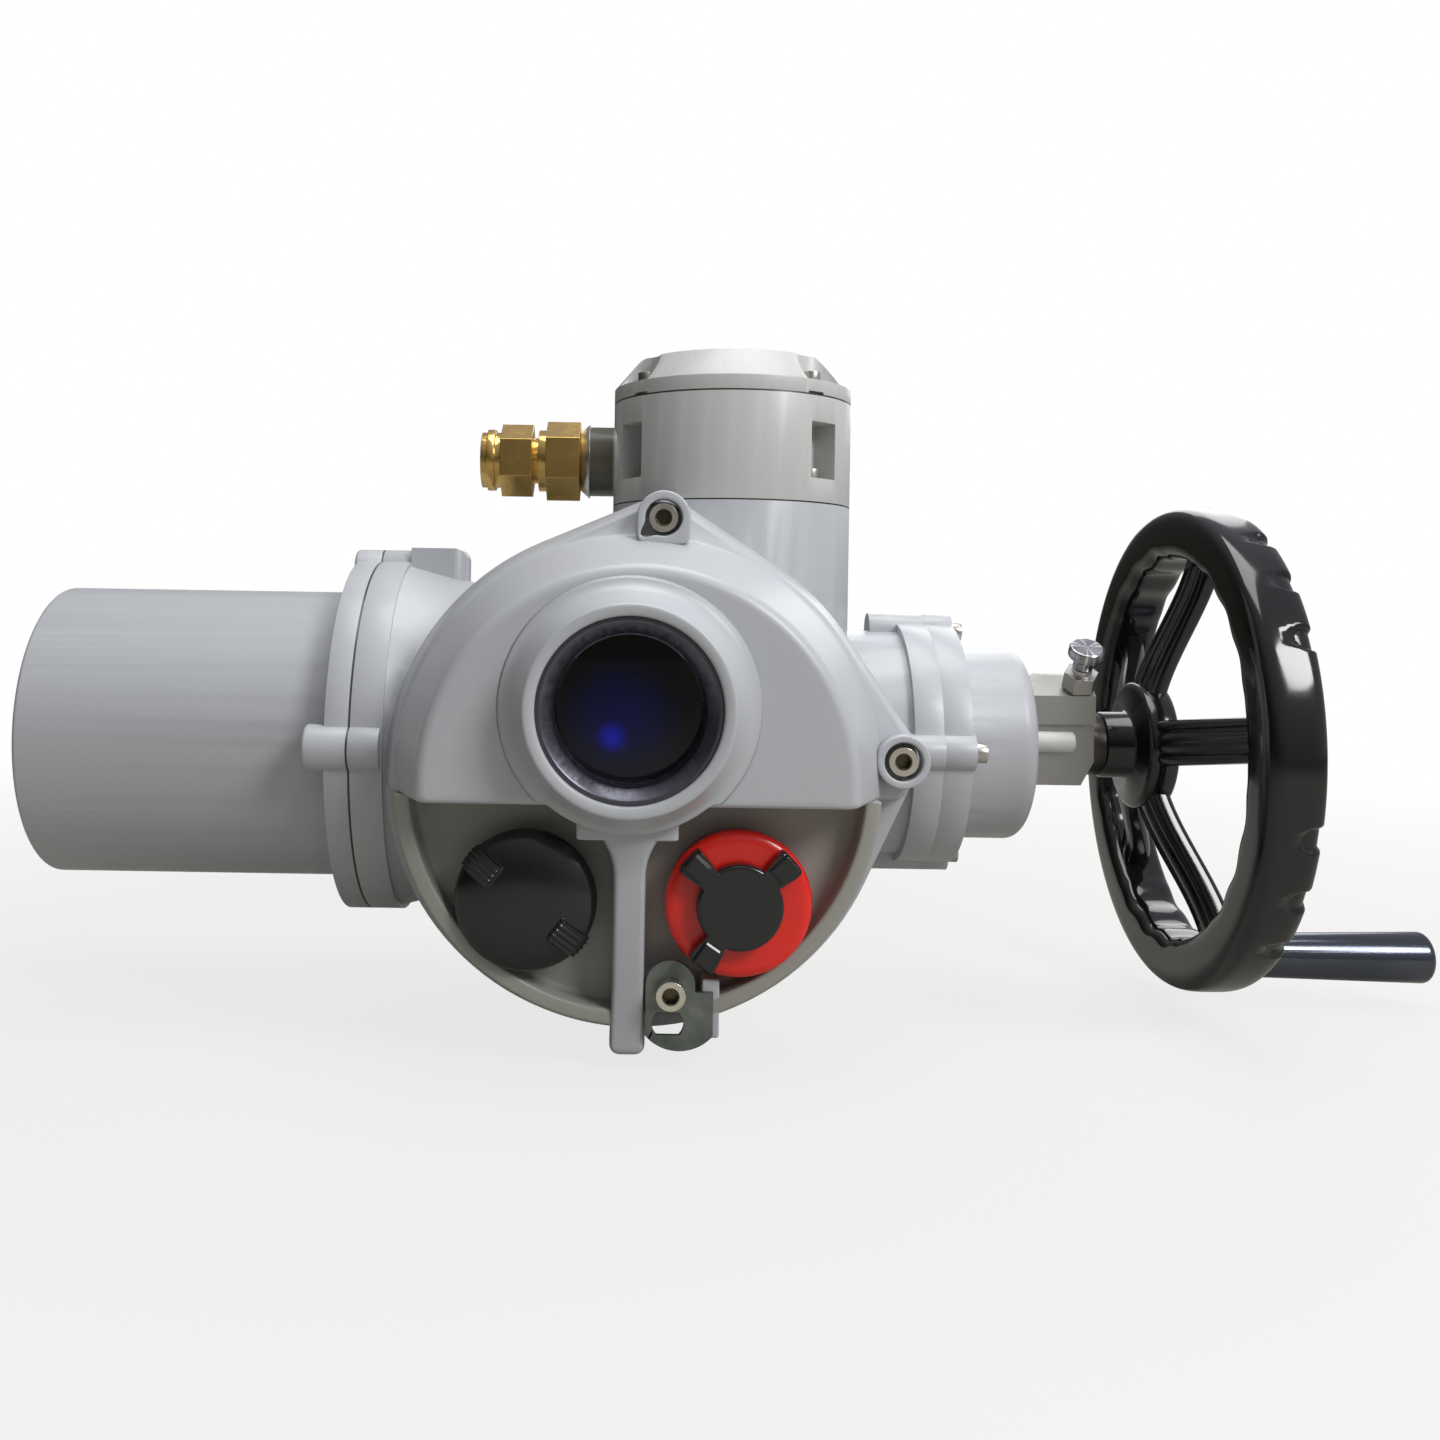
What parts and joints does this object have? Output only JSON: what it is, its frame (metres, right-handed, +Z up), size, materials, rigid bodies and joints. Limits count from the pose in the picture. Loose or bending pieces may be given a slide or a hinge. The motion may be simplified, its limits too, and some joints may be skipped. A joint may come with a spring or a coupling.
{
  "type": "explosion-proof electric actuator",
  "caption": "Flameproof electric valve actuator: motor, worm drive with hollow output sleeve, control cover with window and knobs, terminal tower, cable gland and handwheel.",
  "frame": {"origin": "centre of the drive bore on the base flange's mounting face", "axes": "+Z up along the drive sleeve, +X along the worm shaft from the motor to the handwheel, -Y towards the control cover"},
  "size_m": [0.7188, 0.283, 0.33],
  "materials": {
    "grey_paint": "satin enamel on cast aluminium",
    "screw_steel": "machined",
    "turned_steel": "turned",
    "bearing_steel": "ground",
    "zinc_plate": "zinc plated",
    "bronze": "cut bronze",
    "iron_core": "laminated",
    "winding": "varnished",
    "black_gloss": "gloss",
    "handle_black": "polished",
    "red_plastic": "gloss",
    "white_plastic": "satin",
    "window_glass": "polished",
    "display": "dark",
    "board": "satin",
    "rubber": "matte",
    "brass": "turned brass"
  },
  "bodies": {
    "case": {"base_flange": "grey_paint", "base_screws": "screw_steel", "control_board": "board", "control_cover": "grey_paint", "cover_screws": "screw_steel", "cover_seal": "rubber", "display_module": "display", "entry_plug": "screw_steel", "gear_case": "grey_paint", "gear_cover": "grey_paint", "gear_cover_screws": "screw_steel", "gland_body": "brass", "gland_nut": "brass", "gland_seal": "rubber", "gland_washer": "turned_steel", "handwheel_bearing": "bearing_steel", "knob_pins": "turned_steel", "lower_sleeve_bearing": "bearing_steel", "motor_bearing": "bearing_steel", "motor_flange_screws": "screw_steel", "motor_housing": "grey_paint", "output_seal": "rubber", "padlock_plate": "zinc_plate", "plunger_body": "turned_steel", "plunger_spring": "turned_steel", "shaft_block": "turned_steel", "shaft_seal": "rubber", "stator": "iron_core", "stator_windings": "winding", "stem_plug": "screw_steel", "stop_pin": "white_plastic", "terminal_block": "board", "terminal_cover": "grey_paint", "terminal_cover_screws": "screw_steel", "terminal_housing": "grey_paint", "terminal_housing_screws": "screw_steel", "upper_sleeve_bearing": "bearing_steel", "window_glass": "window_glass", "window_ring": "black_gloss", "worm_bearing_motor_side": "bearing_steel", "worm_bearing_wheel_side": "bearing_steel", "worm_seal": "rubber"},
    "worm_drive": {"worm_shaft": "turned_steel", "rotor": "iron_core", "shift_collar": "turned_steel", "collar_stop": "turned_steel", "handwheel": "black_gloss", "hub_nut": "screw_steel", "handle_spindle": "turned_steel"},
    "handle": {"handle_grip": "handle_black"},
    "output_drive": {"worm_wheel": "bronze", "drive_sleeve": "turned_steel", "wheel_key": "turned_steel"},
    "plunger": {"plunger_pin": "turned_steel", "plunger_knob": "turned_steel"},
    "command_knob": {"black_knob": "black_gloss"},
    "selector_knob": {"red_knob": "red_plastic", "selector_arm": "black_gloss"}
  },
  "joints": [
    {"name": "handwheel_spin", "type": "hinge", "parent": "case", "child": "worm_drive", "pos_m": [0, -0.06, 0.138], "axis": [1, 0, 0], "continuous": true},
    {"name": "output_spin", "type": "hinge", "parent": "case", "child": "output_drive", "pos_m": [0, 0, 0.138], "axis": [0, 0, 1], "continuous": true},
    {"name": "handle_spin", "type": "hinge", "parent": "worm_drive", "child": "handle", "pos_m": [0.36, -0.05024, 0.02643], "axis": [1, 0, 0], "continuous": true},
    {"name": "plunger_pull", "type": "slide", "parent": "case", "child": "plunger", "axis": [0, -0.5519, 0.8339], "range_m": [0, 0.005], "stiffness_N_per_m": 900, "springref_m": -0.004, "deforming": ["plunger_spring"]},
    {"name": "command_turn", "type": "hinge", "parent": "case", "child": "command_knob", "pos_m": [-0.0485, -0.168, 0.0755], "axis": [0, -1, 0], "range_deg": [-45, 45], "stiffness_Nm_per_rad": 0.3},
    {"name": "selector_turn", "type": "hinge", "parent": "case", "child": "selector_knob", "pos_m": [0.0455, -0.168, 0.0755], "axis": [0, -1, 0], "range_deg": [-60, 60]}
  ],
  "couplings": [
    {"joint": "output_spin", "follows": "handwheel_spin", "ratio": -0.025}
  ]
}
